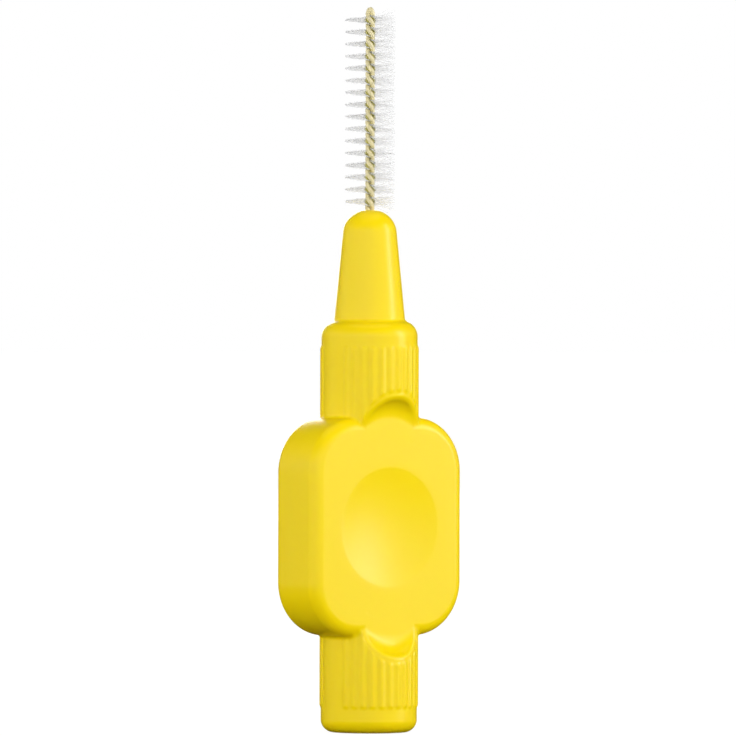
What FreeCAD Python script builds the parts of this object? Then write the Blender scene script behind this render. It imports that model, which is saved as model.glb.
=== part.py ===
# Interdental brush: a moulded handle, a twisted wire and sixteen half turns of filaments.
# Millimetres, +Z up along the brush, origin at the centre of the foot, grip plate facing -Y and +Y.
import FreeCAD, Part
import math
import os
import Sketcher
from FreeCAD import Placement, Rotation, Vector

# Driving sizes: name, value, what it is
SIZES = [
    ("barrel_length", 28.6, "barrel, foot to shoulder"),
    ("barrel_radius", 3.34, "barrel between its ribs"),
    ("foot_round", 0.9, "rounding of the foot, in two bevels"),
    ("shoulder_round", 1.12, "rounding of the shoulder"),
    ("neck_length", 7.68, "tapered neck, shoulder to tip"),
    ("neck_root_radius", 2.465, "neck at the shoulder"),
    ("neck_tip_radius", 1.72, "neck at its tip, before the tip is rounded"),
    ("neck_tip_round", 1.5, "rounding of the neck's tip"),
    ("plate_height", 15.2, "grip plate along the barrel"),
    ("plate_width", 13.25, "grip plate across the barrel"),
    ("plate_thickness", 4.7, "grip plate, face to face"),
    ("plate_corner", 3.8, "rounding of the plate's corners"),
    ("plate_edge_round", 0.8, "rounding of the plate's edges"),
    ("round_limit", 0.9, "most of a wall's half that a rounding may take"),
    ("flat_reach", 1.3, "thumb flat past the plate's end, along the barrel"),
    ("scoop_radius", 2.1, "run-out of the thumb flat into the barrel"),
    ("cut_margin", 0.18, "cut of the thumb flat past the ribs"),
    ("dish_radius", 4.15, "round thumb dish"),
    ("dish_depth", 0.32, "thumb dish at its middle"),
    ("rib_count", 13, "ribs on each side of the barrel, an odd number"),
    ("rib_pitch", 11, "degrees from one rib to the next"),
    ("rib_width", 0.72, "rib across its root, inside the barrel"),
    ("rib_height", 0.09, "rib above the barrel"),
    ("end_band", 1.64, "plain band at each end of the barrel"),
    ("rib_setback", 0.4, "plain border between the ribs and the thumb flat"),
    ("wire_radius", 0.15, "wire with its plastic coating"),
    ("filament_thickness", 0.06, "nylon filament"),
    ("filament_clearance", 0.01, "each side of a filament, between the wire's legs"),
    ("twist_pitch", 1.68, "one full turn of the wire"),
    ("turn_count", 16, "half turns of filaments"),
    ("turn_filaments", 11, "filaments in a half turn"),
    ("first_turn_angle", -37.5, "degrees, the way the first half turn's middle filament points"),
    ("brush_radius", 1.77, "filament tips"),
    ("brush_standoff", 0.16, "between the neck's tip and the first half turn"),
    ("stem_depth", 8.0, "wire inside the handle"),
    ("stem_clearance", 0.03, "between the wire and its bore"),
]

# Worked-out places and sizes: name, formula on the driving sizes
PLACES = [
    ("plate_face", "Sizes.plate_thickness / 2"),
    ("plate_middle", "Sizes.barrel_length / 2"),
    ("plate_foot", "(Sizes.barrel_length - Sizes.plate_height) / 2"),
    ("half_width", "Sizes.plate_width / 2"),
    ("tip_height", "Sizes.barrel_length + Sizes.neck_length"),
    ("foot_radius", "Sizes.barrel_radius - Sizes.foot_round"),
    ("bevel_height", "Sizes.foot_round * (1 - sqrt(0.5))"),
    ("bevel_radius", "Sizes.barrel_radius - Places.bevel_height"),
    ("shoulder_start", "Sizes.barrel_length - Sizes.shoulder_round"),
    ("shoulder_centre", "Sizes.barrel_radius - Sizes.shoulder_round"),
    ("edge_round", "min(Sizes.plate_edge_round; Sizes.round_limit * Places.plate_face)"),
    ("tip_round", "min(Sizes.neck_tip_round; Sizes.round_limit * Sizes.neck_tip_radius)"),
    ("crest_radius", "Sizes.barrel_radius + Sizes.rib_height"),
    ("rib_root", "Sizes.barrel_radius - Sizes.rib_height"),
    ("scoop_centre", "Places.plate_face + Sizes.scoop_radius"),
    ("scoop_run", "sqrt(Sizes.scoop_radius^2 - (Places.scoop_centre - Sizes.barrel_radius)^2)"),
    ("flat_foot", "Places.plate_foot - Sizes.flat_reach"),
    ("scoop_foot", "Places.flat_foot + Places.scoop_run"),
    ("scoop_head", "Sizes.barrel_length - Places.scoop_foot"),
    ("clear_of_ribs", "Places.crest_radius + Sizes.cut_margin"),
    ("dish_ball", "(Sizes.dish_radius^2 + Sizes.dish_depth^2) / (2 * Sizes.dish_depth)"),
    ("dish_floor", "Places.plate_face - Sizes.dish_depth"),
    ("leg_gap", "Sizes.filament_thickness + 2 * Sizes.filament_clearance"),
    ("bore_radius", "Places.leg_gap / 2 + 2 * Sizes.wire_radius + Sizes.stem_clearance"),
]

TOUCH = 1e-4  # lengths under this count as nothing
WIRE_SIDES = 6  # flat sides of the wire's section


class Sheets:
    """The sheet of driving sizes and the sheet of places worked out from them."""

    def __init__(self, doc):
        self.sizes = self.fill(doc, "Sizes", [(name, str(value)) for name, value, _ in SIZES])
        self.places = self.fill(doc, "Places", [(name, "=" + formula) for name, formula in PLACES])

    @staticmethod
    def fill(doc, name, rows):
        """One sheet, with a named cell for each row."""
        sheet = doc.addObject("Spreadsheet::Sheet", name)
        for number, (alias, content) in enumerate(rows, start=1):
            sheet.set(f"A{number}", alias)
            sheet.set(f"B{number}", content)
            sheet.setAlias(f"B{number}", alias)
        doc.recompute()
        return sheet

    def __call__(self, name):
        """Value of a named cell of either sheet."""
        sheet = self.places if self.places.getCellFromAlias(name) else self.sizes
        return float(sheet.get(name))

    def cell(self, name):
        """Formula that reads a named cell."""
        sheet = self.places if self.places.getCellFromAlias(name) else self.sizes
        return f"{sheet.Name}.{name}"


def plane(body, role):
    """One of the body's own origin planes."""
    return next(item for item in body.Origin.OriginFeatures if item.Role == role)


def new_sketch(body, name, role, height=None):
    """A sketch on an origin plane of the body, raised along the plane's normal by a formula."""
    sketch = body.newObject("Sketcher::SketchObject", name)
    sketch.AttachmentSupport = (plane(body, role), [""])
    sketch.MapMode = "FlatFace"
    if height:
        sketch.setExpression("AttachmentOffset.Base.z", height)
    return sketch


def line(sketch, start, end):
    """A straight element."""
    return sketch.addGeometry(Part.LineSegment(Vector(*start, 0), Vector(*end, 0)))


def arc(sketch, centre, radius, first, last):
    """A round element from one angle to another, in degrees."""
    circle = Part.Circle(Vector(*centre, 0), Vector(0, 0, 1), radius)
    return sketch.addGeometry(Part.ArcOfCircle(circle, math.radians(first), math.radians(last)))


def rule(sketch, kind, *where):
    """A constraint without a value."""
    sketch.addConstraint(Sketcher.Constraint(kind, *where))


def drive(sketch, formula, value, kind, *where):
    """A constraint whose value follows a formula on the sheets."""
    index = sketch.addConstraint(Sketcher.Constraint(kind, *where, value))
    sketch.renameConstraint(index, f"drive_{index}")
    sketch.setExpression(f"Constraints.drive_{index}", formula)


def place_point(sketch, size, element, end, across=None, up=None):
    """Ties one end of an element to two named cells; without a name it lies on the axis."""
    for kind, name, axis in (("DistanceX", across, -2), ("DistanceY", up, -1)):
        if name:
            drive(sketch, size.cell(name), size(name), kind, -1, 1, element, end)
        else:
            rule(sketch, "PointOnObject", element, end, axis)


def join_ring(sketch, ring, kind="Coincident"):
    """Makes each element's end meet the next one's start, all the way round."""
    for (one, _, one_end), (other, other_start, _) in zip(ring, ring[1:] + ring[:1]):
        rule(sketch, kind, one, one_end, other, other_start)


def add_fillet(doc, body, name, base, edge_test, radius):
    """Rounds the edges of a feature that a test picks."""
    doc.recompute()
    edges = [f"Edge{number}" for number, edge in enumerate(base.Shape.Edges, start=1) if edge_test(edge)]
    fillet = body.newObject("PartDesign::Fillet", name)
    fillet.Base = (base, edges)
    fillet.setExpression("Radius", radius)
    return fillet


def make_plate(doc, body, size):
    """Grip plate: a rounded rectangle with round edges, centred on the barrel."""
    half, foot = size("half_width"), size("plate_foot")
    head = foot + size("plate_height")
    sketch = new_sketch(body, "PlateOutline", "XZ_Plane")
    corners = [(-half, foot), (half, foot), (half, head), (-half, head)]
    sides = [line(sketch, corners[i], corners[(i + 1) % 4]) for i in range(4)]
    join_ring(sketch, [(side, 1, 2) for side in sides])
    for level, upright in (sides[:2], sides[2:]):
        rule(sketch, "Horizontal", level)
        rule(sketch, "Vertical", upright)
    place_point(sketch, size, sides[1], 1, "half_width", "plate_foot")
    drive(sketch, size.cell("plate_width"), 2 * half, "Distance", sides[0])
    drive(sketch, size.cell("plate_height"), head - foot, "Distance", sides[1])

    block = body.newObject("PartDesign::Pad", "PlateBlock")
    block.Profile = sketch
    block.SideType = "Symmetric"
    block.setExpression("Length", size.cell("plate_thickness"))
    rounded = add_fillet(
        doc, body, "PlateCorners", block,
        lambda edge: edge.BoundBox.XLength + edge.BoundBox.ZLength < TOUCH,
        size.cell("plate_corner"),
    )
    add_fillet(
        doc, body, "PlateEdges", rounded,
        lambda edge: edge.BoundBox.YLength < TOUCH,
        size.cell("edge_round"),
    )


def make_barrel(doc, body, size):
    """Round barrel with its shoulder, and the tapered neck with its domed tip."""
    radius, start, tip = size("barrel_radius"), size("shoulder_start"), size("tip_height")
    centre, curve = (size("shoulder_centre"), start), size("shoulder_round")
    root = size("neck_root_radius")
    turn = math.degrees(math.acos((root - centre[0]) / curve))
    shoulder_end = start + curve * math.sin(math.radians(turn))
    sketch = new_sketch(body, "BarrelProfile", "XZ_Plane")
    inner, outer = (size("foot_radius"), 0), (radius, size("foot_round"))
    corner = (size("bevel_radius"), size("bevel_height"))
    foot = line(sketch, (0, 0), inner)
    bevel = line(sketch, inner, corner)
    upper_bevel = line(sketch, corner, outer)
    wall = line(sketch, outer, (radius, start))
    shoulder = arc(sketch, centre, curve, 0, turn)
    taper = line(sketch, (root, shoulder_end), (size("neck_tip_radius"), tip))
    top = line(sketch, (size("neck_tip_radius"), tip), (0, tip))
    middle = line(sketch, (0, tip), (0, 0))
    ring = (foot, bevel, upper_bevel, wall, shoulder, taper, top, middle)
    join_ring(sketch, [(element, 1, 2) for element in ring])
    place_point(sketch, size, foot, 1)
    place_point(sketch, size, bevel, 1, "foot_radius")
    place_point(sketch, size, upper_bevel, 1, "bevel_radius", "bevel_height")
    place_point(sketch, size, wall, 1, "barrel_radius", "foot_round")
    rule(sketch, "Vertical", wall)
    place_point(sketch, size, shoulder, 3, "shoulder_centre", "shoulder_start")
    rule(sketch, "Horizontal", shoulder, 1, shoulder, 3)
    drive(sketch, size.cell("neck_root_radius"), root, "DistanceX", -1, 1, shoulder, 2)
    place_point(sketch, size, taper, 2, "neck_tip_radius", "tip_height")
    place_point(sketch, size, top, 2, None, "tip_height")

    barrel = body.newObject("PartDesign::Revolution", "Barrel")
    barrel.Profile = sketch
    barrel.ReferenceAxis = (sketch, ["V_Axis"])
    barrel.Angle = 360
    add_fillet(
        doc, body, "TipRound", barrel,
        lambda edge: abs(edge.BoundBox.ZMin - tip) < TOUCH,
        size.cell("tip_round"),
    )


def rib_length(index):
    """Formula for a rib's length, from the plain band to the border of the thumb flat.

    A rib beside the flat runs on into the plate.
    """
    proud = f"max(Places.crest_radius * cos({index} * Sizes.rib_pitch * 1 deg) - Places.plate_face; 0)"
    run = f"sqrt(Sizes.scoop_radius^2 - (Sizes.scoop_radius - {proud})^2)"
    return f"Places.scoop_foot - {run} - Sizes.rib_setback - Sizes.end_band"


def draw_rib(sketch, size, turn, turn_formula):
    """Section of a rib: three sides, with its crest on a spoke from the barrel's middle."""
    spread = Vector(0, size("rib_width") / 2, 0)
    root, crest = Vector(size("rib_root"), 0, 0), Vector(size("crest_radius"), 0, 0)
    turned = Rotation(Vector(0, 0, 1), turn)
    corners = [tuple(turned.multVec(point))[:2] for point in (root + spread, crest, root - spread)]
    spoke = line(sketch, (0, 0), corners[1])
    sketch.toggleConstruction(spoke)
    sides = [line(sketch, *pair) for pair in zip(corners, corners[1:] + corners[:1])]
    join_ring(sketch, [(side, 1, 2) for side in sides])
    rule(sketch, "Coincident", spoke, 1, -1, 1)
    rule(sketch, "Coincident", spoke, 2, sides[0], 2)
    rule(sketch, "Symmetric", sides[0], 1, sides[1], 2, spoke)
    drive(sketch, size.cell("crest_radius"), size("crest_radius"), "Distance", spoke)
    drive(sketch, turn_formula, math.radians(turn), "Angle", spoke)
    drive(sketch, size.cell("rib_width"), size("rib_width"), "Distance", sides[2])
    drive(sketch, size.cell("rib_root"), size("rib_root"), "Distance", -1, 1, sides[2])


def make_ribs(body, size):
    """Fine ribs on the front and the back of the barrel, below the plate and above it."""
    pads = []
    for index in range((int(size("rib_count")) + 1) // 2):
        turn = 90 - index * size("rib_pitch")
        sketch = new_sketch(body, f"RibSection{index}", "XY_Plane", size.cell("end_band"))
        draw_rib(sketch, size, turn, f"90 deg - {index} * Sizes.rib_pitch * 1 deg")
        pad = body.newObject("PartDesign::Pad", f"Rib{index}")
        pad.Profile = sketch
        pad.setExpression("Length", rib_length(index))
        pads.append(pad)

    waist = body.newObject("PartDesign::Plane", "Waist")
    waist.AttachmentSupport = (plane(body, "XY_Plane"), [""])
    waist.MapMode = "FlatFace"
    waist.setExpression("AttachmentOffset.Base.z", size.cell("plate_middle"))
    mirrors = []
    for name, mirror_plane in (
        ("RibsAcross", plane(body, "YZ_Plane")),
        ("RibsBehind", plane(body, "XZ_Plane")),
        ("RibsAbove", waist),
    ):
        mirror = body.newObject("PartDesign::Mirrored", name)
        mirror.MirrorPlane = (mirror_plane, [""])
        mirrors.append(mirror)
    ribs = body.newObject("PartDesign::MultiTransform", "Ribs")
    ribs.Originals = pads
    ribs.Transformations = mirrors
    body.Tip = ribs


def make_flat(body, size):
    """Thumb flat: the barrel cut back to the plate's face, running out in a scoop at each end."""
    face, outer, radius = size("plate_face"), size("clear_of_ribs"), size("scoop_radius")
    low, high, centre = size("scoop_foot"), size("scoop_head"), size("scoop_centre")
    turn = math.degrees(math.acos((centre - outer) / radius))
    rise = radius * math.sin(math.radians(turn))
    sketch = new_sketch(body, "FlatProfile", "YZ_Plane")
    floor = line(sketch, (face, low), (face, high))
    upper = arc(sketch, (centre, high), radius, 180 - turn, 180)
    outside = line(sketch, (outer, high + rise), (outer, low - rise))
    lower = arc(sketch, (centre, low), radius, 180, 180 + turn)
    join_ring(sketch, [(floor, 1, 2), (upper, 2, 1), (outside, 1, 2), (lower, 2, 1)])
    place_point(sketch, size, lower, 3, "scoop_centre", "scoop_foot")
    place_point(sketch, size, upper, 3, "scoop_centre", "scoop_head")
    for scoop, level_end in ((lower, 1), (upper, 2)):
        drive(sketch, size.cell("scoop_radius"), radius, "Radius", scoop)
        rule(sketch, "Horizontal", scoop, level_end, scoop, 3)
    for end in (1, 2):
        drive(sketch, size.cell("clear_of_ribs"), outer, "DistanceX", -1, 1, outside, end)

    flat = body.newObject("PartDesign::Pocket", "ThumbFlat")
    flat.Profile = sketch
    flat.SideType = "Symmetric"
    flat.setExpression("Length", "2 * Places.clear_of_ribs")
    return flat


def make_dish(body, size):
    """Round shallow thumb dish in the face of the plate, left by a large ball."""
    ball = body.newObject("PartDesign::SubtractiveSphere", "ThumbDish")
    ball.AttachmentSupport = (plane(body, "XY_Plane"), [""])
    ball.MapMode = "FlatFace"
    ball.setExpression("Radius", size.cell("dish_ball"))
    ball.setExpression("AttachmentOffset.Base.y", "Places.dish_floor + Places.dish_ball")
    ball.setExpression("AttachmentOffset.Base.z", size.cell("plate_middle"))
    return ball


def make_bore(body, size):
    """Bore in the neck that holds the wire's stem."""
    sketch = new_sketch(body, "BoreSection", "XY_Plane", size.cell("tip_height"))
    circle = sketch.addGeometry(Part.Circle(Vector(0, 0, 0), Vector(0, 0, 1), size("bore_radius")))
    rule(sketch, "Coincident", circle, 3, -1, 1)
    drive(sketch, size.cell("bore_radius"), size("bore_radius"), "Radius", circle)
    bore = body.newObject("PartDesign::Pocket", "WireBore")
    bore.Profile = sketch
    bore.setExpression("Length", "Sizes.stem_depth + Sizes.stem_clearance")


def repeat_behind(body, feature):
    """Repeats a feature on the other face of the plate."""
    mirror = body.newObject("PartDesign::Mirrored", f"{feature.Name}Behind")
    mirror.Originals = [feature]
    mirror.MirrorPlane = (plane(body, "XZ_Plane"), [""])
    body.Tip = mirror


def make_handle(doc, size):
    """One moulding: plate, barrel, neck, ribs, thumb flats, dishes and the wire's bore."""
    body = doc.addObject("PartDesign::Body", "Handle")
    make_plate(doc, body, size)
    make_barrel(doc, body, size)
    make_ribs(body, size)
    repeat_behind(body, make_flat(body, size))
    repeat_behind(body, make_dish(body, size))
    make_bore(body, size)
    body.Label = "handle"
    return body


def bend(start, along, end):
    """Arc from one point to another that leaves the first along a direction."""
    half = (end - start) / 2
    reach = half.Length / along.dot(half / half.Length)
    outward = along * reach - half
    sagitta = half.Length * math.tan(math.atan2(outward.Length, half.Length) / 2)
    return Part.Arc(start, start + half + outward / outward.Length * sagitta, end).toShape()


def two_bends(start, along, end, onward):
    """Two arcs that join two points smoothly, leaving and arriving along two directions."""
    gap = end - start
    turn = 2 * (1 - along.dot(onward))
    spread = gap.dot(along + onward)
    reach = (math.sqrt(spread**2 + turn * gap.dot(gap)) - spread) / turn
    joint = (start + end + (along - onward) * reach) / 2
    between = gap - (along + onward) * reach
    return [bend(start, along, joint), bend(joint, between / between.Length, end)]


class Twist:
    """Line of the hairpin wire: two legs wound left-handed round the brush's axis.

    Each quarter turn of a leg is one arc, and a leg's slope is the one that joins these arcs smoothly.
    """

    def __init__(self, size):
        self.pitch = size("twist_pitch")
        self.quarter = self.pitch / 4
        self.offset = size("leg_gap") / 2 + size("wire_radius")
        self.quarters = 2 * int(size("turn_count"))
        self.stem_foot = size("tip_height") - size("stem_depth")
        self.start = size("tip_height") + size("brush_standoff")
        self.end = self.start + self.quarters * self.quarter
        self.first_angle = size("first_turn_angle")

    def filament_angle(self, height):
        """The way a filament between the legs points, in degrees."""
        first_middle = self.start + self.quarter
        return self.first_angle - 360 * (height - first_middle) / self.pitch

    def leg(self, height, side):
        """Place and upward direction of a leg at a height; side is 1 or -1."""
        turned = Rotation(Vector(0, 0, 1), self.filament_angle(height) + 90 * side)
        along = Vector(0, -2 * self.offset, self.quarter)
        place = turned.multVec(Vector(self.offset, 0, 0)) + Vector(0, 0, height)
        return place, turned.multVec(along / along.Length)

    def leg_edges(self, side):
        """A leg from its end in the handle to its last quarter turn."""
        up = Vector(0, 0, 1)
        winding, slope = self.leg(self.start, side)
        settled = winding - up * (self.pitch / 2)
        foot = Vector(winding.x, winding.y, self.stem_foot)
        edges = [Part.LineSegment(foot, settled).toShape()]
        edges += two_bends(settled, up, winding, slope)
        levels = [self.start + number * self.quarter for number in range(self.quarters + 1)]
        for level, following in zip(levels, levels[1:]):
            place, along = self.leg(level, side)
            edges.append(bend(place, along, self.leg(following, side)[0]))
        return edges

    def path(self):
        """The whole hairpin, from one end in the handle over the tip to the other."""
        top, along = self.leg(self.end, 1)
        other_top, other_along = self.leg(self.end, -1)
        tip = two_bends(top, along, other_top, other_along * -1)
        return Part.Wire(Part.__sortEdges__(self.leg_edges(1) + tip + self.leg_edges(-1)))


def make_feature(doc, label, shape):
    """A sub-part whose shape is worked out here."""
    feature = doc.addObject("Part::Feature", label)
    feature.Label = label
    feature.Shape = shape
    feature.Placement = Placement()
    return feature


def make_wire(doc, size, twist):
    """Coated wire along the hairpin, its round section given a few flat sides."""
    path = twist.path()
    start = path.OrderedVertexes[0].Point
    turns = [Rotation(Vector(0, 0, 1), 360 * side / WIRE_SIDES) for side in range(WIRE_SIDES + 1)]
    corners = [start + turn.multVec(Vector(size("wire_radius"), 0, 0)) for turn in turns]
    wire = path.makePipeShell([Part.makePolygon(corners)], True, False)
    return make_feature(doc, "twisted_wire", wire)


def make_filament(size, height, angle):
    """One straight filament, square in section, through the brush's axis."""
    thick, length = size("filament_thickness"), 2 * size("brush_radius")
    filament = Part.makeBox(length, thick, thick, Vector(-length / 2, -thick / 2, -thick / 2))
    filament.Placement = Placement(Vector(0, 0, height), Rotation(Vector(0, 0, 1), angle))
    return filament


def make_turn(doc, size, twist, index):
    """One half turn of filaments, gripped between the legs of the wire."""
    count = int(size("turn_filaments"))
    step = twist.pitch / 2 / count
    levels = [twist.start + index * twist.pitch / 2 + (place + 0.5) * step for place in range(count)]
    filaments = [make_filament(size, level, twist.filament_angle(level)) for level in levels]
    return make_feature(doc, f"bristle_turn_{index + 1:02d}", Part.makeCompound(filaments))


def write_parts(doc, parts):
    """Checks every object, then writes one file for each sub-part."""
    doc.recompute()
    failed = [item.Name for item in doc.Objects if {"Invalid", "Error"} & set(item.State)]
    failed += [part.Label for part in parts if part.Shape.isNull() or not part.Shape.isValid()]
    if failed:
        raise RuntimeError("failed: " + ", ".join(failed))
    os.makedirs("parts", exist_ok=True)
    for part in parts:
        part.Shape.exportStep(f"parts/{part.Label}.step")


def main():
    doc = FreeCAD.newDocument("InterdentalBrush")
    size = Sheets(doc)
    twist = Twist(size)
    parts = [make_handle(doc, size), make_wire(doc, size, twist)]
    parts += [make_turn(doc, size, twist, index) for index in range(int(size("turn_count")))]
    write_parts(doc, parts)


main()
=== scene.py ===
"""Interdental brush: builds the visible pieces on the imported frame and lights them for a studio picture.

Sizes are in millimetres until a piece is finished, and each finished mesh is in metres.
"""
import logging
import math
import random
from collections.abc import Callable
from dataclasses import dataclass
from enum import Enum

import bmesh
import bpy
import numpy as np
from mathutils import Matrix, Vector


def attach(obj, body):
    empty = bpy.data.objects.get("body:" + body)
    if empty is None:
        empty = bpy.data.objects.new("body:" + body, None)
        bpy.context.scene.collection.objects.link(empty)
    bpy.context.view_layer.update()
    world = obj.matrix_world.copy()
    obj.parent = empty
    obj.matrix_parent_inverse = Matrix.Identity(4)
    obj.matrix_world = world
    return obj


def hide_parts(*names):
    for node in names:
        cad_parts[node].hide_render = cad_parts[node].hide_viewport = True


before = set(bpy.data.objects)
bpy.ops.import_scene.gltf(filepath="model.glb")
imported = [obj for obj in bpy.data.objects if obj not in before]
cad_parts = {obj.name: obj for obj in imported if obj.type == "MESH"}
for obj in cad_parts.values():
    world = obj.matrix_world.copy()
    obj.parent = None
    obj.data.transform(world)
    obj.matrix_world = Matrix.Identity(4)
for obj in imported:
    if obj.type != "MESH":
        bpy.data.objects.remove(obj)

log = logging.getLogger("interdental_brush")

MM = 0.001
TINY = 1e-6
SLOPE_STEP = 0.004

GRAIN_DETAIL = 3.0
STREAK_DETAIL = 4.0
STREAK_ROUGHNESS = 0.6
STREAK_STRETCH = (1.0, 1.0, 0.22)


class Slot(Enum):
    """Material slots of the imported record."""

    HANDLE = "handle_plastic"
    WIRE = "wire_coating"
    FILAMENT = "filament_nylon"


class Shade(Enum):
    """Linear greys of the studio."""

    WHITE = (1.0, 1.0, 1.0, 1.0)
    PALE = (0.18, 0.18, 0.18, 1.0)
    BLACK = (0.0, 0.0, 0.0, 1.0)


def new_group(name: str, inputs: dict[str, float], outputs: list[str]) -> bpy.types.ShaderNodeTree:
    """Starts a shader node group with plain number sockets.

    Args:
        name: Name of the group.
        inputs: Input names with their defaults.
        outputs: Output names.

    Returns:
        The group, with its input and output nodes named "in" and "out".
    """
    group = bpy.data.node_groups.new(name, "ShaderNodeTree")
    for label, value in inputs.items():
        socket = group.interface.new_socket(label, in_out="INPUT", socket_type="NodeSocketFloat")
        socket.default_value = value
    for label in outputs:
        group.interface.new_socket(label, in_out="OUTPUT", socket_type="NodeSocketFloat")
    group.nodes.new("NodeGroupInput").name = "in"
    group.nodes.new("NodeGroupOutput").name = "out"
    return group


def moulded_skin() -> bpy.types.ShaderNodeTree:
    """Builds the skin of moulded plastic: a fine grain and faint streaks along the flow of the melt.

    Returns:
        The group, with a grain height, a streak mask and a roughness.
    """
    inputs = {"Grain Scale": 9000.0, "Streak Scale": 260.0, "Roughness": 0.4, "Roughness Spread": 0.08}
    group = new_group("moulded_skin", inputs, ["Height", "Streak", "Roughness"])
    nodes, links = group.nodes, group.links
    place = nodes.new("ShaderNodeTexCoord")
    grain = nodes.new("ShaderNodeTexNoise")
    grain.inputs["Detail"].default_value = GRAIN_DETAIL
    links.new(place.outputs["Object"], grain.inputs["Vector"])
    links.new(nodes["in"].outputs["Grain Scale"], grain.inputs["Scale"])
    links.new(grain.outputs["Fac"], nodes["out"].inputs["Height"])

    stretch = nodes.new("ShaderNodeMapping")
    stretch.inputs["Scale"].default_value = STREAK_STRETCH
    streak = nodes.new("ShaderNodeTexNoise")
    streak.inputs["Detail"].default_value = STREAK_DETAIL
    streak.inputs["Roughness"].default_value = STREAK_ROUGHNESS
    links.new(place.outputs["Object"], stretch.inputs["Vector"])
    links.new(stretch.outputs["Vector"], streak.inputs["Vector"])
    links.new(nodes["in"].outputs["Streak Scale"], streak.inputs["Scale"])
    links.new(streak.outputs["Fac"], nodes["out"].inputs["Streak"])

    centred = nodes.new("ShaderNodeMath")
    centred.operation = "SUBTRACT"
    centred.inputs[1].default_value = 0.5
    spread = nodes.new("ShaderNodeMath")
    spread.operation = "MULTIPLY_ADD"
    links.new(streak.outputs["Fac"], centred.inputs[0])
    links.new(centred.outputs[0], spread.inputs[0])
    links.new(nodes["in"].outputs["Roughness Spread"], spread.inputs[1])
    links.new(nodes["in"].outputs["Roughness"], spread.inputs[2])
    links.new(spread.outputs[0], nodes["out"].inputs["Roughness"])
    return group


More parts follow.
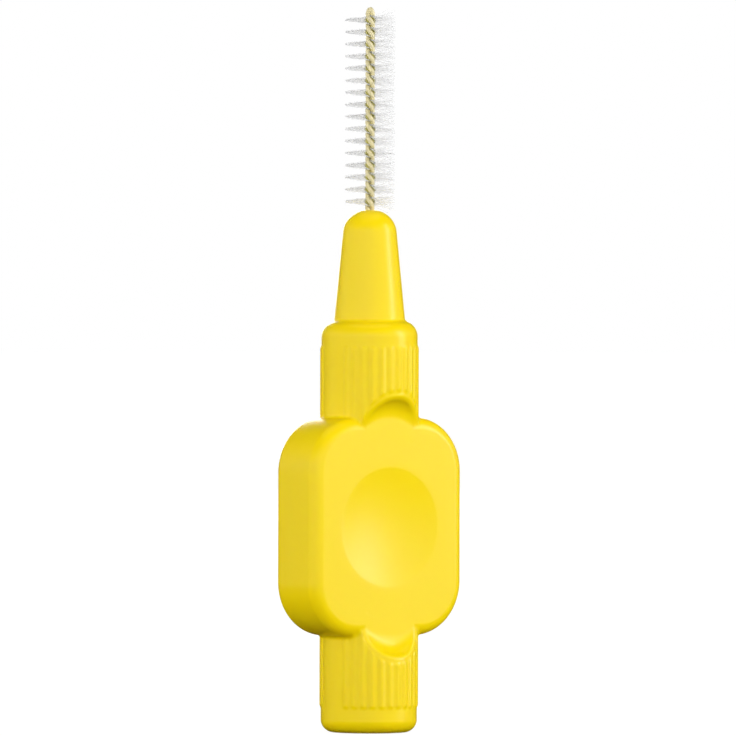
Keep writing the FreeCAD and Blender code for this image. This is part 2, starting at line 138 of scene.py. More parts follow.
@dataclass(frozen=True)
class PlasticFinish:
    """A plastic with a grained skin.

    Attributes:
        name: Name of the material.
        colour: Linear colour.
        streak_colour: Linear colour along the streaks of the melt.
        roughness: Mean roughness.
        grain_depth: Depth of the grain, in metres.
        grain_scale: Grains to a metre.
        streak_scale: Streaks to a metre.
        specular: Specular level.
        depth_glow: Share of light that goes into the plastic and out again.
        glow_reach: How far that light goes, in metres.
        glow_spread: Share of that reach for red, green and blue.
        alpha: Cover, less than 1 where light goes straight through.
        root_shade_colour: Linear colour of the painted shade within the wire's grip, where the filaments' roots
            lie in the shadow between the wire's legs.
        root_shade_reach: Distance from the axis at which that painted shade ends, in metres, or 0 for none.
        root_shade_core: Share of that distance within which the painted shade is full.
    """

    name: str
    colour: tuple[float, float, float]
    streak_colour: tuple[float, float, float]
    roughness: float
    grain_depth: float
    grain_scale: float
    streak_scale: float
    specular: float
    depth_glow: float
    glow_reach: float
    glow_spread: tuple[float, float, float] = (1.0, 1.0, 1.0)
    alpha: float = 1.0
    root_shade_colour: tuple[float, float, float] = (0.0, 0.0, 0.0)
    root_shade_reach: float = 0.0
    root_shade_core: float = 0.6

    def build(self, skin: bpy.types.ShaderNodeTree) -> bpy.types.Material:
        """Makes the material.

        Args:
            skin: The moulded skin group.

        Returns:
            The material.
        """
        material = bpy.data.materials.new(self.name)
        material.use_nodes = True
        nodes, links = material.node_tree.nodes, material.node_tree.links
        shader = nodes["Principled BSDF"]
        shader.inputs["Specular IOR Level"].default_value = self.specular
        shader.inputs["Subsurface Weight"].default_value = self.depth_glow
        shader.inputs["Subsurface Scale"].default_value = self.glow_reach
        shader.inputs["Subsurface Radius"].default_value = self.glow_spread
        shader.inputs["Alpha"].default_value = self.alpha

        surface = nodes.new("ShaderNodeGroup")
        surface.node_tree = skin
        surface.inputs["Grain Scale"].default_value = self.grain_scale
        surface.inputs["Streak Scale"].default_value = self.streak_scale
        surface.inputs["Roughness"].default_value = self.roughness

        tint = nodes.new("ShaderNodeMix")
        tint.data_type = "RGBA"
        tint.inputs["A"].default_value = (*self.colour, 1.0)
        tint.inputs["B"].default_value = (*self.streak_colour, 1.0)
        links.new(surface.outputs["Streak"], tint.inputs["Factor"])
        links.new(tint.outputs["Result"], shader.inputs["Base Color"])
        links.new(surface.outputs["Roughness"], shader.inputs["Roughness"])

        bump = nodes.new("ShaderNodeBump")
        bump.inputs["Strength"].default_value = 1.0
        bump.inputs["Distance"].default_value = self.grain_depth
        links.new(surface.outputs["Height"], bump.inputs["Height"])
        links.new(bump.outputs["Normal"], shader.inputs["Normal"])
        # Painted shade at the roots, for the shadow between the wire's legs.
        if self.root_shade_reach:
            self.paint_root_shade(nodes, links, tint.outputs["Result"])
        return material

    def paint_root_shade(
        self, nodes: bpy.types.Nodes, links: bpy.types.NodeLinks, colour: bpy.types.NodeSocket
    ) -> None:
        """Paints shade on the plastic near the axis, where the wire grips it and the roots lie in the shadow
        between the wire's legs, and makes it solid there.

        Args:
            nodes: Nodes of the material.
            links: Links of the material.
            colour: The colour elsewhere.
        """
        shader = nodes["Principled BSDF"]
        place = nodes.new("ShaderNodeTexCoord")
        level = nodes.new("ShaderNodeVectorMath")
        level.operation = "MULTIPLY"
        level.inputs[1].default_value = (1.0, 1.0, 0.0)
        reach = nodes.new("ShaderNodeVectorMath")
        reach.operation = "LENGTH"
        # Mask of the painted root shade: full near the axis, none past the reach.
        root = nodes.new("ShaderNodeMapRange")
        root.inputs["From Min"].default_value = self.root_shade_reach
        root.inputs["From Max"].default_value = self.root_shade_reach * self.root_shade_core
        links.new(place.outputs["Object"], level.inputs[0])
        links.new(level.outputs["Vector"], reach.inputs[0])
        links.new(reach.outputs["Value"], root.inputs["Value"])

        # Painted shade: olive mixed over the nylon's colour near the axis, for the shadow between the wire's legs.
        root_shade_mix = nodes.new("ShaderNodeMix")
        root_shade_mix.data_type = "RGBA"
        root_shade_mix.inputs["B"].default_value = (*self.root_shade_colour, 1.0)
        links.new(root.outputs["Result"], root_shade_mix.inputs["Factor"])
        links.new(colour, root_shade_mix.inputs["A"])
        links.new(root_shade_mix.outputs["Result"], shader.inputs["Base Color"])
        cover = nodes.new("ShaderNodeMapRange")
        cover.inputs["To Min"].default_value = self.alpha
        links.new(root.outputs["Result"], cover.inputs["Value"])
        links.new(cover.outputs["Result"], shader.inputs["Alpha"])


HANDLE_PLASTIC = PlasticFinish(
    name="handle_yellow",
    colour=(0.90, 0.665, 0.0),
    streak_colour=(0.92, 0.69, 0.0),
    roughness=0.3,
    grain_depth=0.0000015,
    grain_scale=9000.0,
    streak_scale=260.0,
    specular=0.3,
    depth_glow=0.1,
    glow_reach=0.0006,
    glow_spread=(1.0, 0.55, 0.12),
)
WIRE_COATING = PlasticFinish(
    name="wire_olive",
    colour=(0.64, 0.55, 0.26),
    streak_colour=(0.80, 0.73, 0.48),
    roughness=0.3,
    grain_depth=0.000001,
    grain_scale=20000.0,
    streak_scale=1500.0,
    specular=0.5,
    depth_glow=0.0,
    glow_reach=0.0002,
)
FILAMENT_NYLON = PlasticFinish(
    name="filament_white",
    colour=(0.93, 0.93, 0.94),
    streak_colour=(0.97, 0.97, 0.97),
    roughness=0.45,
    grain_depth=0.0000005,
    grain_scale=30000.0,
    streak_scale=2500.0,
    specular=0.3,
    depth_glow=0.0,
    glow_reach=0.0002,
    alpha=0.15,
    # Olive painted shade at the filaments' roots, for the shadow between the wire's legs.
    root_shade_colour=(0.55, 0.51, 0.10),
    root_shade_reach=0.00042,
)


def add_piece(
    name: str, mesh: bpy.types.Mesh, material: bpy.types.Material, nodes: list[str]
) -> bpy.types.Object:
    """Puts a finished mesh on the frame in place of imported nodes.

    Args:
        name: Name of the piece.
        mesh: Its mesh, in metres.
        material: Its material.
        nodes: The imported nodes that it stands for.

    Returns:
        The new object.
    """
    mesh.materials.clear()
    mesh.materials.append(material)
    mesh.shade_smooth()
    piece = bpy.data.objects.new(name, mesh)
    bpy.context.scene.collection.objects.link(piece)
    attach(piece, "root")
    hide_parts(*nodes)
    return piece


def rounded(one: np.ndarray, other: np.ndarray, radius: np.ndarray | float) -> np.ndarray:
    """Distance to the overlap of two forms, with a round edge where they meet.

    Args:
        one: Distances to the first form, negative inside.
        other: Distances to the second form.
        radius: Radius of the edge.

    Returns:
        Distances to the overlap.
    """
    first, second = one + radius, other + radius
    outside = np.hypot(np.maximum(first, 0.0), np.maximum(second, 0.0))
    return outside + np.minimum(np.maximum(first, second), 0.0) - radius


def filleted(one: np.ndarray, other: np.ndarray, radius: np.ndarray | float) -> np.ndarray:
    """Distance to two joined forms, with a hollow fillet where they meet.

    Args:
        one: Distances to the first form, negative inside.
        other: Distances to the second form.
        radius: Radius of the fillet.

    Returns:
        Distances to the joined form.
    """
    return -rounded(-one, -other, radius)


def eased(share: np.ndarray) -> np.ndarray:
    """Smooths a share that goes from 0 to 1, so that it starts and ends level."""
    return share * share * (3.0 - 2.0 * share)


def slope_of(form: Callable[[np.ndarray], np.ndarray], points: np.ndarray) -> np.ndarray:
    """Direction in which a form's distance grows fastest.

    Args:
        form: Function from places to distances.
        points: Places, one to a row.

    Returns:
        One unit vector to a row.
    """
    moves = np.eye(3) * SLOPE_STEP
    slope = np.stack([form(points + move) - form(points - move) for move in moves], axis=1)
    return slope / np.maximum(np.linalg.norm(slope, axis=1, keepdims=True), TINY)


def read_points(mesh: bpy.types.Mesh) -> np.ndarray:
    """Reads the places of a mesh's vertices.

    Args:
        mesh: The mesh.

    Returns:
        The places, one to a row.
    """
    flat = np.empty(len(mesh.vertices) * 3)
    mesh.vertices.foreach_get("co", flat)
    return flat.reshape(-1, 3)


def write_points(mesh: bpy.types.Mesh, points: np.ndarray) -> None:
    """Moves a mesh's vertices to new places."""
    mesh.vertices.foreach_set("co", points.ravel())
    mesh.update()


@dataclass
class Handle:
    """The one-piece moulding: barrel, neck, ribs, grip plate, thumb flats and thumb dishes.

    The surface is where a distance function is zero. Points of a rough mesh move on to it.
    """

    barrel_length: float = 28.6
    barrel_radius: float = 3.34
    foot_round: float = 0.9
    shoulder_round: float = 1.12
    neck_length: float = 7.68
    neck_root_radius: float = 2.465
    neck_tip_radius: float = 1.72
    neck_tip_round: float = 1.5
    neck_fillet: float = 0.16
    plate_height: float = 15.2
    plate_width: float = 13.25
    plate_thickness: float = 4.7
    plate_corner: float = 3.8
    plate_edge_round: float = 0.8
    plate_crown: float = 0.1
    plate_fillet: float = 0.25
    least_fillet: float = 0.0001
    full_fillet_slope: float = 0.5
    flat_recess: float = 0.4
    flat_level: float = 0.9
    flat_reach: float = 1.33
    flat_end_radius: float = 3.6
    flat_end_share: float = 0.9
    flat_edge_round: float = 0.24
    scoop_radius: float = 1.5
    dish_radius: float = 4.15
    dish_depth: float = 0.32
    dish_rim_soft: float = 0.02
    rib_count: int = 13
    rib_pitch: float = 11.0
    rib_height: float = 0.09
    rib_setback: float = 0.4
    end_band: float = 1.64
    rib_run_out: float = 0.3
    turn_steps: int = 72
    corner_segments: int = 10
    voxel: float = 0.112
    merge_distance: float = 0.0001
    relax_rounds: tuple[int, ...] = (2, 2, 1, 0)
    relax_share: float = 0.5
    settle_moves: int = 4
    settle_limit: float = 0.4

    @property
    def middle(self) -> float:
        """Height of the plate's middle."""
        return self.barrel_length / 2

    @property
    def plate_face(self) -> float:
        """Distance of the plate's face from the axis."""
        return self.plate_thickness / 2

    @property
    def tip_height(self) -> float:
        """Height of the neck's tip."""
        return self.barrel_length + self.neck_length

    @property
    def scoop_start(self) -> float:
        """Distance from the plate's middle at which the thumb flat starts to run out."""
        drop = self.plate_face + self.scoop_radius - self.barrel_radius
        run = math.sqrt(self.scoop_radius**2 - drop**2)
        return self.plate_height / 2 + self.flat_reach - run

    def turned(self, points: np.ndarray) -> np.ndarray:
        """Distances to the barrel with its ribs and the neck, before the thumb flats are cut.

        Args:
            points: Places, one to a row.

        Returns:
            Distances, negative inside.
        """
        reach = np.hypot(points[:, 0], points[:, 1])
        height = points[:, 2]
        wall = reach - self.barrel_radius - self.ribs(points)
        foot = rounded(wall, -height, self.foot_round)
        shoulder = rounded(wall, height - self.barrel_length, self.shoulder_round)
        barrel = np.where(height < self.middle, foot, shoulder)

        taper = (self.neck_root_radius - self.neck_tip_radius) / self.neck_length
        cone = (reach - self.neck_tip_radius - taper * (self.tip_height - height)) / math.hypot(1.0, taper)
        neck = rounded(cone, height - self.tip_height, self.neck_tip_round)
        neck = np.maximum(neck, self.barrel_length - self.shoulder_round - height)
        return filleted(barrel, neck, self.neck_fillet)

    def ribs(self, points: np.ndarray) -> np.ndarray:
        """Height of the ribs on the barrel's wall at some points.

        Args:
            points: Places, one to a row.

        Returns:
            Heights above the wall.
        """
        out = np.abs(points[:, 1])
        turn = np.degrees(np.arctan2(points[:, 0], np.maximum(out, TINY)))
        sector = (self.rib_count - 1) / 2 * self.rib_pitch + self.rib_pitch / 2
        crest = 0.5 + 0.5 * np.cos(math.tau * turn / self.rib_pitch)
        crest = np.where(np.abs(turn) < sector, crest, 0.0)
        from_middle = np.abs(points[:, 2] - self.middle)
        band = (self.middle - self.end_band - from_middle) / self.rib_run_out
        border = (self.flat_edge(points) - self.rib_setback) / self.rib_run_out
        ends = np.clip(np.minimum(band, border), 0.0, 1.0)
        return self.rib_height * crest * eased(ends)

    def past_flat(self, points: np.ndarray) -> np.ndarray:
        """How far some points are past the level part of the thumb flat, whose end is round seen from the front.

        Args:
            points: Places, one to a row.

        Returns:
            Distances along the barrel.
        """
        across = np.minimum(np.abs(points[:, 0]), self.barrel_radius * self.flat_end_share)
        drawn_in = self.flat_end_radius - np.sqrt(self.flat_end_radius**2 - across * across)
        return np.abs(points[:, 2] - self.middle) - self.scoop_start + drawn_in

    def flat_edge(self, points: np.ndarray) -> np.ndarray:
        """How far some points of the barrel's wall are past the edge of the thumb flat, along the barrel.

        Args:
            points: Places, one to a row.

        Returns:
            Distances along the barrel.
        """
        reach = np.maximum(np.hypot(points[:, 0], points[:, 1]), TINY)
        proud = np.maximum(np.abs(points[:, 1]) / reach * self.barrel_radius - self.plate_face, 0.0)
        run = np.sqrt(np.maximum(self.scoop_radius**2 - (self.scoop_radius - proud) ** 2, 0.0))
        return self.past_flat(points) - run

    def thumb_flat(self, points: np.ndarray) -> np.ndarray:
        """Distances past the thumb flats and the scoops at their ends, negative where plastic is left.

        Args:
            points: Places, one to a row.

        Returns:
            Distances, negative where plastic is left.
        """
        out = np.abs(points[:, 1])
        along = self.past_flat(points)
        scoop = self.scoop_radius - np.hypot(out - self.plate_face - self.scoop_radius, along)
        covered = np.clip(-along - self.flat_level, 0.0, 1.0)
        recess = self.flat_recess * eased(covered)
        return np.where(along < 0.0, out - self.plate_face + recess, scoop)

    def barrel(self, points: np.ndarray) -> np.ndarray:
        """Distances to the barrel and neck, with the thumb flats cut."""
        return rounded(self.turned(points), self.thumb_flat(points), self.flat_edge_round)

    def plate(self, points: np.ndarray) -> np.ndarray:
        """Distances to the grip plate, with its crowned sides and its thumb dishes.

        Args:
            points: Places, one to a row.

        Returns:
            Distances, negative inside.
        """
        across = np.abs(points[:, 0]) - self.plate_width / 2
        along = np.abs(points[:, 2] - self.middle) - self.plate_height / 2
        out = np.abs(points[:, 1])
        outline = rounded(across, along, self.plate_corner) + self.plate_crown * (out / self.plate_face) ** 2
        return rounded(outline, out - self.plate_face + self.dish(points), self.plate_edge_round)

    def dish(self, points: np.ndarray) -> np.ndarray:
        """Depth of the thumb dish below the plate's face.

        Args:
            points: Places, one to a row.

        Returns:
            Depths, 0 outside the dish.
        """
        reach = np.hypot(points[:, 0], points[:, 2] - self.middle) / self.dish_radius
        bowl = self.dish_depth * (1.0 - reach * reach)
        return (bowl + np.hypot(bowl, self.dish_rim_soft)) / 2

    def form(self, points: np.ndarray, fillet: np.ndarray) -> np.ndarray:
        """Distances to the whole moulding.

        Args:
            points: Places, one to a row.
            fillet: Radius of the fillet between barrel and plate at each place.

        Returns:
            Distances, negative inside.
        """
        return filleted(self.barrel(points), self.plate(points), fillet)

    def fillet_at(self, points: np.ndarray) -> np.ndarray:
        """Radius of the fillet between barrel and plate: none where their faces run level.

        Args:
            points: Places, one to a row.

        Returns:
            Radii.
        """
        barrel_slope = slope_of(self.barrel, points)
        plate_slope = slope_of(self.plate, points)
        apart = 1.0 - np.sum(barrel_slope * plate_slope, axis=1)
        return self.plate_fillet * np.clip(apart / self.full_fillet_slope, 0.0, 1.0) + self.least_fillet

    def blank(self) -> bmesh.types.BMesh:
        """Makes the rough moulding: a turned barrel and neck, and a bevelled plate through it.

        Returns:
            The rough moulding, in millimetres.
        """
        bm = bmesh.new()
        outline = [
            (0.0, 0.0),
            (self.barrel_radius - self.foot_round, 0.0),
            (self.barrel_radius, self.foot_round),
            (self.barrel_radius, self.barrel_length - self.shoulder_round),
            (self.barrel_radius - self.shoulder_round, self.barrel_length),
            (self.neck_root_radius, self.barrel_length),
            (self.neck_tip_radius, self.tip_height - self.neck_tip_round),
            (self.neck_tip_radius / 2, self.tip_height),
            (0.0, self.tip_height),
        ]
        points = [bm.verts.new((reach, 0.0, height)) for reach, height in outline]
        edges = [bm.edges.new(pair) for pair in zip(points, points[1:])]
        bmesh.ops.spin(
            bm, geom=points + edges, cent=(0, 0, 0), axis=(0, 0, 1), angle=math.tau, steps=self.turn_steps,
            use_merge=True,
        )
        bmesh.ops.remove_doubles(bm, verts=bm.verts, dist=self.merge_distance)

        cube = bmesh.ops.create_cube(bm, size=1.0)["verts"]
        bmesh.ops.scale(bm, vec=(self.plate_width, self.plate_thickness, self.plate_height), verts=cube)
        bmesh.ops.translate(bm, vec=(0, 0, self.middle), verts=cube)
        plate = set(cube)
        sides = [edge for edge in bm.edges if edge.verts[0] in plate]
        corners = [edge for edge in sides if abs(edge.verts[0].co.y - edge.verts[1].co.y) > self.plate_face]
        bmesh.ops.bevel(
            bm, geom=corners, offset=self.plate_corner, offset_type="OFFSET", affect="EDGES",
            segments=self.corner_segments, profile=0.5, material=-1,
        )
        bmesh.ops.recalc_face_normals(bm, faces=bm.faces)
        return bm

    def even_mesh(self, bm: bmesh.types.BMesh) -> bpy.types.Mesh:
        """Remeshes the rough moulding into even small faces.

        Args:
            bm: The rough moulding, which is used up.

        Returns:
            One closed mesh.
        """
        rough = bpy.data.meshes.new("handle_blank")
        bm.to_mesh(rough)
        bm.free()
        block = bpy.data.objects.new("handle_blank", rough)
        bpy.context.scene.collection.objects.link(block)
        remesh = block.modifiers.new("even_faces", "REMESH")
        remesh.mode = "VOXEL"
        remesh.voxel_size = self.voxel
        depsgraph = bpy.context.evaluated_depsgraph_get()
        even = bpy.data.meshes.new_from_object(block.evaluated_get(depsgraph))
        bpy.data.objects.remove(block)
        bpy.data.meshes.remove(rough)
        even.name = "handle_moulding"
        return even

    def outward(self, points: np.ndarray, fillet: np.ndarray) -> np.ndarray:
        """Unit vectors that point out of the moulding's surface."""
        return slope_of(lambda places: self.form(places, fillet), points)

    def settle(self, points: np.ndarray) -> np.ndarray:
        """Moves points on to the moulding's surface.

        Args:
            points: Places near the surface.

        Returns:
            Places on the surface.
        """
        for _ in range(self.settle_moves):
            fillet = self.fillet_at(points)
            away = np.clip(self.form(points, fillet), -self.settle_limit, self.settle_limit)
            points = points - self.outward(points, fillet) * away[:, None]
        return points

    def relax(self, mesh: bpy.types.Mesh, times: int) -> None:
        """Evens out a mesh's vertices.

        Args:
            mesh: The mesh, which is changed.
            times: How often each vertex moves towards its neighbours.
        """
        bm = bmesh.new()
        bm.from_mesh(mesh)
        for _ in range(times):
            bmesh.ops.smooth_vert(
                bm, verts=bm.verts, factor=self.relax_share, use_axis_x=True, use_axis_y=True, use_axis_z=True
            )
        bm.to_mesh(mesh)
        bm.free()

    def build(self, material: bpy.types.Material) -> bpy.types.Object:
        """Makes the handle.

        Args:
            material: Its plastic.

        Returns:
            The piece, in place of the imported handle.
        """
        mesh = self.even_mesh(self.blank())
        for times in self.relax_rounds:
            places = self.settle(read_points(mesh))
            write_points(mesh, places)
            self.relax(mesh, times)
        normals = self.outward(places, self.fillet_at(places))
        write_points(mesh, places * MM)
        piece = add_piece("handle_moulding", mesh, material, ["handle"])
        mesh.normals_split_custom_set_from_vertices(normals.tolist())
        return piece


@dataclass
class Twist:
    """The left-handed helix that the wire and the filaments share."""

    pitch: float = 1.68
    half_turns: int = 16
    start: float = 36.44
    first_angle: float = -37.5
    leg_offset: float = 0.165

    @property
    def end(self) -> float:
        """Height at which the last half turn ends."""
        return self.start + self.half_turns * self.pitch / 2

    def angle(self, height: float) -> float:
        """The way a filament points at a height, in degrees."""
        return self.first_angle - 360.0 * (height - self.start - self.pitch / 4) / self.pitch

    def leg(self, height: float, side: int, offset: float) -> Vector:
        """Place of one leg of the wire.

        Args:
            height: Height above the foot.
            side: 1 for one leg and -1 for the other.
            offset: Distance from the axis.

        Returns:
            The place.
        """
        turn = math.radians(self.angle(height) + 90.0 * side)
        return Vector((offset * math.cos(turn), offset * math.sin(turn), height))


@dataclass
class TwistedWire:
    """The coated wire: a hairpin with its two legs twisted round each other."""

    twist: Twist
    radius: float = 0.165
    points_per_turn: int = 12
    root_depth: float = 1.2
    tip_rise: float = 0.33
    crown_share: float = 0.85
    tip_share: float = 0.55
    line_detail: int = 3
    section_detail: int = 3
    spline_order: int = 4

    def line(self) -> list[Vector]:
        """Control points of the hairpin, up one leg and down the other.

        Returns:
            The points, in millimetres.
        """
        step = self.twist.pitch / self.points_per_turn
        shrink = (2.0 + math.cos(math.tau / self.points_per_turn)) / 3.0
        offset = self.twist.leg_offset / shrink
        count = round((self.twist.end - self.twist.start + self.root_depth) / step)
        levels = [self.twist.end - number * step for number in range(count + 1)]
        legs = [[self.twist.leg(level, side, offset) for level in reversed(levels)] for side in (1, -1)]
        last = self.twist.end + step
        crown = [self.twist.leg(last, side, self.crown_share * offset) for side in (1, -1)]
        rise = Vector((0, 0, self.twist.end + self.tip_rise))
        top = [point.to_2d().to_3d() * self.tip_share + rise for point in crown]
        return legs[0] + [crown[0], top[0], top[1], crown[1]] + legs[1][::-1]

    def build(self, material: bpy.types.Material) -> bpy.types.Object:
        """Makes the wire.

        Args:
            material: Its coating.

        Returns:
            The piece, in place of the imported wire.
        """
        points = self.line()
        curve = bpy.data.curves.new("wire_line", "CURVE")
        curve.dimensions = "3D"
        curve.bevel_depth = self.radius
        curve.bevel_resolution = self.section_detail
        curve.resolution_u = self.line_detail
        curve.use_fill_caps = True
        spline = curve.splines.new("NURBS")
        spline.points.add(len(points) - 1)
        for place, point in zip(points, spline.points):
            point.co = (*place, 1.0)
        spline.order_u = self.spline_order
        spline.use_endpoint_u = True
        line = bpy.data.objects.new("wire_line", curve)
        mesh = bpy.data.meshes.new_from_object(line)
        bpy.data.objects.remove(line)
        bpy.data.curves.remove(curve)
        mesh.name = "twisted_hairpin"
        mesh.transform(Matrix.Scale(MM, 4))
        return add_piece("twisted_hairpin", mesh, material, ["twisted_wire"])


@dataclass
class FilamentTurn:
    """The filaments that one half turn of the wire grips."""

    twist: Twist
    index: int
    count: int = 90
    radius: float = 0.02
    reach: float = 1.77
    length_spread: float = 0.04
    angle_spread: float = 2.0
    tip_spread: float = 0.022
    frayed_spread: float = 0.30
    frayed_side: float = -37.5
    gather: float = 0.4
    lean_rate: float = 2.0
    bow: float = 0.02
    segments: int = 6
    section_sides: int = 4
    seed: int = 7

    def straight_filament(self) -> bpy.types.Mesh:
        """Makes one straight filament along X, from -1 to 1.

        Returns:
            Its closed mesh.
        """
        bm = bmesh.new()
        ring = bmesh.ops.create_circle(bm, cap_ends=True, segments=self.section_sides, radius=self.radius)["verts"]
        bmesh.ops.rotate(bm, verts=ring, matrix=Matrix.Rotation(math.pi / 2, 3, "Y"))
        bmesh.ops.translate(bm, verts=ring, vec=(-1, 0, 0))
        end = list(bm.faces)
        for step in range(self.segments):
            moved = bmesh.ops.extrude_face_region(bm, geom=end, use_keep_orig=step == 0)["geom"]
            verts = [item for item in moved if isinstance(item, bmesh.types.BMVert)]
            end = [item for item in moved if isinstance(item, bmesh.types.BMFace)]
            bmesh.ops.translate(bm, verts=verts, vec=(2 / self.segments, 0, 0))
        bmesh.ops.recalc_face_normals(bm, faces=bm.faces)
        mesh = bpy.data.meshes.new("straight_filament")
        bm.to_mesh(mesh)
        bm.free()
        return mesh

    def build(self, material: bpy.types.Material, node: str) -> bpy.types.Object:
        """Makes the filaments of this half turn.

        Args:
            material: Their nylon.
            node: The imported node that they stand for.

        Returns:
            The piece.
        """
        rng = random.Random(self.seed + self.index)
        single = self.straight_filament()
        bm = bmesh.new()
        step = self.twist.pitch / 2 / self.count
        middle = self.twist.start + (self.index + 0.5) * self.twist.pitch / 2
        for number in range(self.count):
            height = middle + (number + 0.5 - self.count / 2) * step
            way = self.twist.angle(height) + rng.gauss(0, self.angle_spread)
            turn = Matrix.Rotation(math.radians(way), 3, "Z")
            half = self.reach - abs(rng.gauss(0, self.length_spread))
            bow, sides = rng.gauss(0, self.bow), rng.gauss(0, self.bow)
            facing = math.cos(math.radians(way - self.frayed_side))
            frayed = [max(0.0, side) for side in (-facing, facing)]
            tips = [rng.gauss(0, self.tip_spread + self.frayed_spread * share) for share in frayed]
            leans = [self.gather * (1.0 - share) * (middle - height) for share in frayed]
            known = len(bm.verts)
            bm.from_mesh(single)
            bm.verts.ensure_lookup_table()
            for vert in bm.verts[known:]:
                along = vert.co.x
                lean = leans[along > 0] * min(1.0, abs(along) * self.lean_rate)
                lift = tips[along > 0] * abs(along) + bow * along * along + lean
                place = Vector((along * half, vert.co.y + sides * along * along, vert.co.z + lift))
                vert.co = turn @ place + Vector((0, 0, height))
        mesh = bpy.data.meshes.new(f"filaments_{self.index + 1:02d}")
        bm.to_mesh(mesh)
        bm.free()
        bpy.data.meshes.remove(single)
        mesh.transform(Matrix.Scale(MM, 4))
        return add_piece(mesh.name, mesh, material, [node])


def seen_rays(nodes: bpy.types.Nodes, links: bpy.types.NodeLinks) -> bpy.types.NodeSocket:
    """Picks out the rays by which a background is seen, straight or in gloss or glass.

    Args:
        nodes: Nodes of the tree.
        links: Links of the tree.

    Returns:
        A socket that is 1 for such rays.
    """
    rays = nodes.new("ShaderNodeLightPath")
    seen = rays.outputs["Is Camera Ray"]
    for kind in ("Is Glossy Ray", "Is Transmission Ray"):
        either = nodes.new("ShaderNodeMath")
        either.operation = "MAXIMUM"
        links.new(seen, either.inputs[0])
        links.new(rays.outputs[kind], either.inputs[1])
        seen = either.outputs[0]
    return seen


@dataclass(frozen=True)
class SoftBox:
    """A rectangular soft box that faces the object.

    Attributes:
        name: Name of the lamp.
        azimuth: Degrees round from the front, to the right.
        elevation: Degrees above the horizon.
        distance: Distance from the object, in metres.
        width: Width, in metres.
        height: Height, in metres.
        power: Watts.
    """

    name: str
    azimuth: float
    elevation: float
    distance: float
    width: float
    height: float
    power: float

    def hang(self, centre: Vector) -> bpy.types.Object:
        """Hangs the lamp.

        Args:
            centre: The place that it faces, in metres.

        Returns:
            The lamp.
        """
        data = bpy.data.lights.new(self.name, "AREA")
        data.shape = "RECTANGLE"
        data.size, data.size_y = self.width, self.height
        data.energy = self.power
        lamp = bpy.data.objects.new(self.name, data)
        lamp.visible_camera = False
        bpy.context.scene.collection.objects.link(lamp)
        turn, rise = math.radians(self.azimuth), math.radians(self.elevation)
        away = Vector((math.sin(turn) * math.cos(rise), -math.cos(turn) * math.cos(rise), math.sin(rise)))
        look = (-away).to_track_quat("-Z", "Y").to_matrix()
        lamp.matrix_world = Matrix.Translation(centre + away * self.distance) @ look.to_4x4()
        return lamp


LAMPS = (
    SoftBox("key_strip", azimuth=46.0, elevation=15.0, distance=0.45, width=0.07, height=0.32, power=0.78),
    SoftBox("front_box", azimuth=-46.0, elevation=24.0, distance=0.6, width=0.06, height=0.10, power=0.06),
    SoftBox("back_box", azimuth=150.0, elevation=12.0, distance=0.6, width=0.25, height=0.25, power=1.0),
)


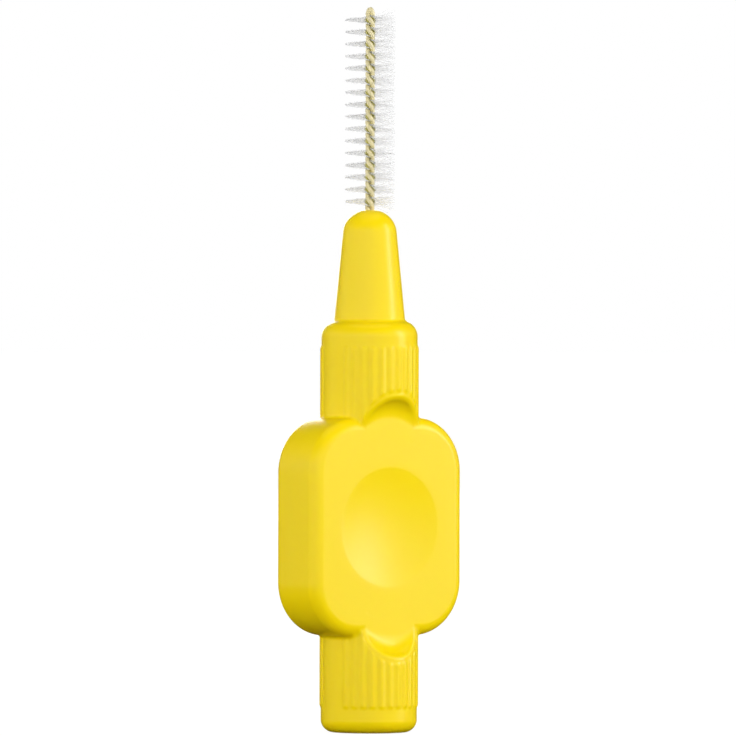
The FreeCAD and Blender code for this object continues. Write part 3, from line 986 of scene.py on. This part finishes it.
@dataclass
class Studio:
    """White studio: a pale floor, a bright surround, soft boxes and the camera.

    The camera's places are in millimetres. Its near clip and the floor's and the flag's sizes are in metres.
    """

    camera_azimuth: float = -37.5
    camera_distance: float = 1000.0
    camera_height: float = 44.0
    aim_height: float = 25.3
    aim_left: float = 0.103
    lens: float = 704.5
    sensor_width: float = 36.0
    near_clip: float = 0.01
    roll: float = 0.13
    surround: float = 3.85
    surround_top: float = 0.06
    surround_fall: float = 2.6
    surround_azimuth: float = -50.0
    surround_side: float = 0.35
    floor_glow: float = 0.92
    floor_radius: float = 1.5
    floor_sides: int = 64
    floor_roughness: float = 0.9
    flag_radius: float = 0.8
    flag_height: float = 1.6
    flag_lift: float = 0.00005
    flag_sides: int = 48
    filament_layers: int = 64

    def camera(self) -> bpy.types.Object:
        """Sets the camera at the photograph's viewing angle.

        Returns:
            The camera.
        """
        turn = math.radians(self.camera_azimuth)
        place = Vector((math.sin(turn), -math.cos(turn), 0)) * self.camera_distance
        place.z = self.camera_height
        aim = Vector((-math.cos(turn), -math.sin(turn), 0)) * self.aim_left
        aim.z = self.aim_height
        data = bpy.data.cameras.new("camera")
        data.lens = self.lens
        data.sensor_width = self.sensor_width
        data.clip_start = self.near_clip
        camera = bpy.data.objects.new("camera", data)
        bpy.context.scene.collection.objects.link(camera)
        look = (aim - place).to_track_quat("-Z", "Y").to_matrix()
        roll = Matrix.Rotation(math.radians(self.roll), 3, "Z")
        camera.matrix_world = Matrix.Translation(place * MM) @ (look @ roll).to_4x4()
        bpy.context.scene.camera = camera
        return camera

    def world(self) -> None:
        """Makes the surround: white where the camera sees it, and a softer level as light."""
        world = bpy.data.worlds.new("surround")
        world.use_nodes = True
        bpy.context.scene.world = world
        nodes, links = world.node_tree.nodes, world.node_tree.links
        light = nodes["Background"]
        light.inputs["Color"].default_value = Shade.WHITE.value
        way = nodes.new("ShaderNodeTexCoord")
        split = nodes.new("ShaderNodeSeparateXYZ")
        lower = nodes.new("ShaderNodeMath")
        lower.operation = "SUBTRACT"
        lower.use_clamp = True
        lower.inputs[0].default_value = 1.0
        fall = nodes.new("ShaderNodeMath")
        fall.operation = "POWER"
        fall.inputs[1].default_value = self.surround_fall
        rise = nodes.new("ShaderNodeMapRange")
        rise.inputs["To Min"].default_value = self.surround_top
        rise.inputs["To Max"].default_value = self.surround
        front = nodes.new("ShaderNodeVectorMath")
        front.operation = "DOT_PRODUCT"
        turn = math.radians(self.surround_azimuth)
        front.inputs[1].default_value = (math.sin(turn), -math.cos(turn), 0.0)
        side = nodes.new("ShaderNodeMath")
        side.operation = "MULTIPLY_ADD"
        side.inputs[1].default_value = self.surround_side
        side.inputs[2].default_value = 1.0
        level = nodes.new("ShaderNodeMath")
        level.operation = "MULTIPLY"
        links.new(way.outputs["Generated"], split.inputs["Vector"])
        links.new(split.outputs["Z"], lower.inputs[1])
        links.new(lower.outputs[0], fall.inputs[0])
        links.new(fall.outputs[0], rise.inputs["Value"])
        links.new(way.outputs["Generated"], front.inputs[0])
        links.new(front.outputs["Value"], side.inputs[0])
        links.new(rise.outputs["Result"], level.inputs[0])
        links.new(side.outputs[0], level.inputs[1])
        links.new(level.outputs[0], light.inputs["Strength"])
        seen = nodes.new("ShaderNodeBackground")
        seen.inputs["Color"].default_value = Shade.WHITE.value
        seen.inputs["Strength"].default_value = 1.0
        choose = nodes.new("ShaderNodeMixShader")
        links.new(seen_rays(nodes, links), choose.inputs["Fac"])
        links.new(light.outputs["Background"], choose.inputs[1])
        links.new(seen.outputs["Background"], choose.inputs[2])
        links.new(choose.outputs["Shader"], nodes["World Output"].inputs["Surface"])

    def floor(self) -> bpy.types.Object:
        """Lays the pale floor, which the camera sees as white.

        Returns:
            The floor.
        """
        bm = bmesh.new()
        bmesh.ops.create_circle(bm, cap_ends=True, segments=self.floor_sides, radius=self.floor_radius)
        mesh = bpy.data.meshes.new("floor")
        bm.to_mesh(mesh)
        bm.free()
        material = bpy.data.materials.new("floor_paper")
        material.use_nodes = True
        nodes, links = material.node_tree.nodes, material.node_tree.links
        paper = nodes["Principled BSDF"]
        paper.inputs["Base Color"].default_value = Shade.PALE.value
        paper.inputs["Roughness"].default_value = self.floor_roughness
        paper.inputs["Specular IOR Level"].default_value = 0.0
        paper.inputs["Emission Color"].default_value = Shade.WHITE.value
        glow = nodes.new("ShaderNodeMath")
        glow.operation = "MULTIPLY"
        glow.inputs[1].default_value = self.floor_glow
        links.new(seen_rays(nodes, links), glow.inputs[0])
        links.new(glow.outputs[0], paper.inputs["Emission Strength"])
        mesh.materials.append(material)
        floor = bpy.data.objects.new("floor", mesh)
        bpy.context.scene.collection.objects.link(floor)
        return floor

    def flag(self) -> bpy.types.Object:
        """Hangs a black cloth round the set, which only gloss shows, so that no white dulls the colour.

        Returns:
            The cloth.
        """
        bm = bmesh.new()
        bmesh.ops.create_circle(bm, cap_ends=True, segments=self.flag_sides, radius=self.flag_radius)
        wall = bmesh.ops.extrude_edge_only(bm, edges=list(bm.edges))["geom"]
        top = [item for item in wall if isinstance(item, bmesh.types.BMVert)]
        bmesh.ops.translate(bm, verts=top, vec=(0, 0, self.flag_height))
        bmesh.ops.translate(bm, verts=bm.verts, vec=(0, 0, self.flag_lift))
        mesh = bpy.data.meshes.new("black_flag")
        bm.to_mesh(mesh)
        bm.free()
        material = bpy.data.materials.new("black_cloth")
        material.use_nodes = True
        cloth = material.node_tree.nodes["Principled BSDF"]
        cloth.inputs["Base Color"].default_value = Shade.BLACK.value
        cloth.inputs["Specular IOR Level"].default_value = 0.0
        mesh.materials.append(material)
        flag = bpy.data.objects.new("black_flag", mesh)
        bpy.context.scene.collection.objects.link(flag)
        flag.visible_camera = flag.visible_diffuse = flag.visible_shadow = flag.visible_transmission = False
        return flag

    def build(self) -> None:
        """Sets up the studio."""
        self.camera()
        self.world()
        self.floor()
        self.flag()
        for lamp in LAMPS:
            lamp.hang(Vector((0, 0, self.aim_height * MM)))
        bpy.context.scene.cycles.transparent_max_bounces = self.filament_layers
        bpy.context.scene.view_settings.view_transform = "Standard"


def main() -> None:
    """Builds every piece and the studio."""
    logging.basicConfig(level=logging.INFO, format="%(name)s: %(message)s")
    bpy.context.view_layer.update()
    skin = moulded_skin()
    handle_plastic, wire_coating, nylon = (
        finish.build(skin) for finish in (HANDLE_PLASTIC, WIRE_COATING, FILAMENT_NYLON)
    )
    handle = Handle().build(handle_plastic)
    log.info("handle: %d faces", len(handle.data.polygons))
    twist = Twist()
    wire = TwistedWire(twist).build(wire_coating)
    log.info("wire: %d faces", len(wire.data.polygons))
    for index in range(twist.half_turns):
        turn = FilamentTurn(twist, index).build(nylon, f"bristle_turn_{index + 1:02d}")
        log.info("%s: %d faces", turn.name, len(turn.data.polygons))
    Studio().build()
    bpy.context.view_layer.update()


if __name__ == "__main__":
    main()
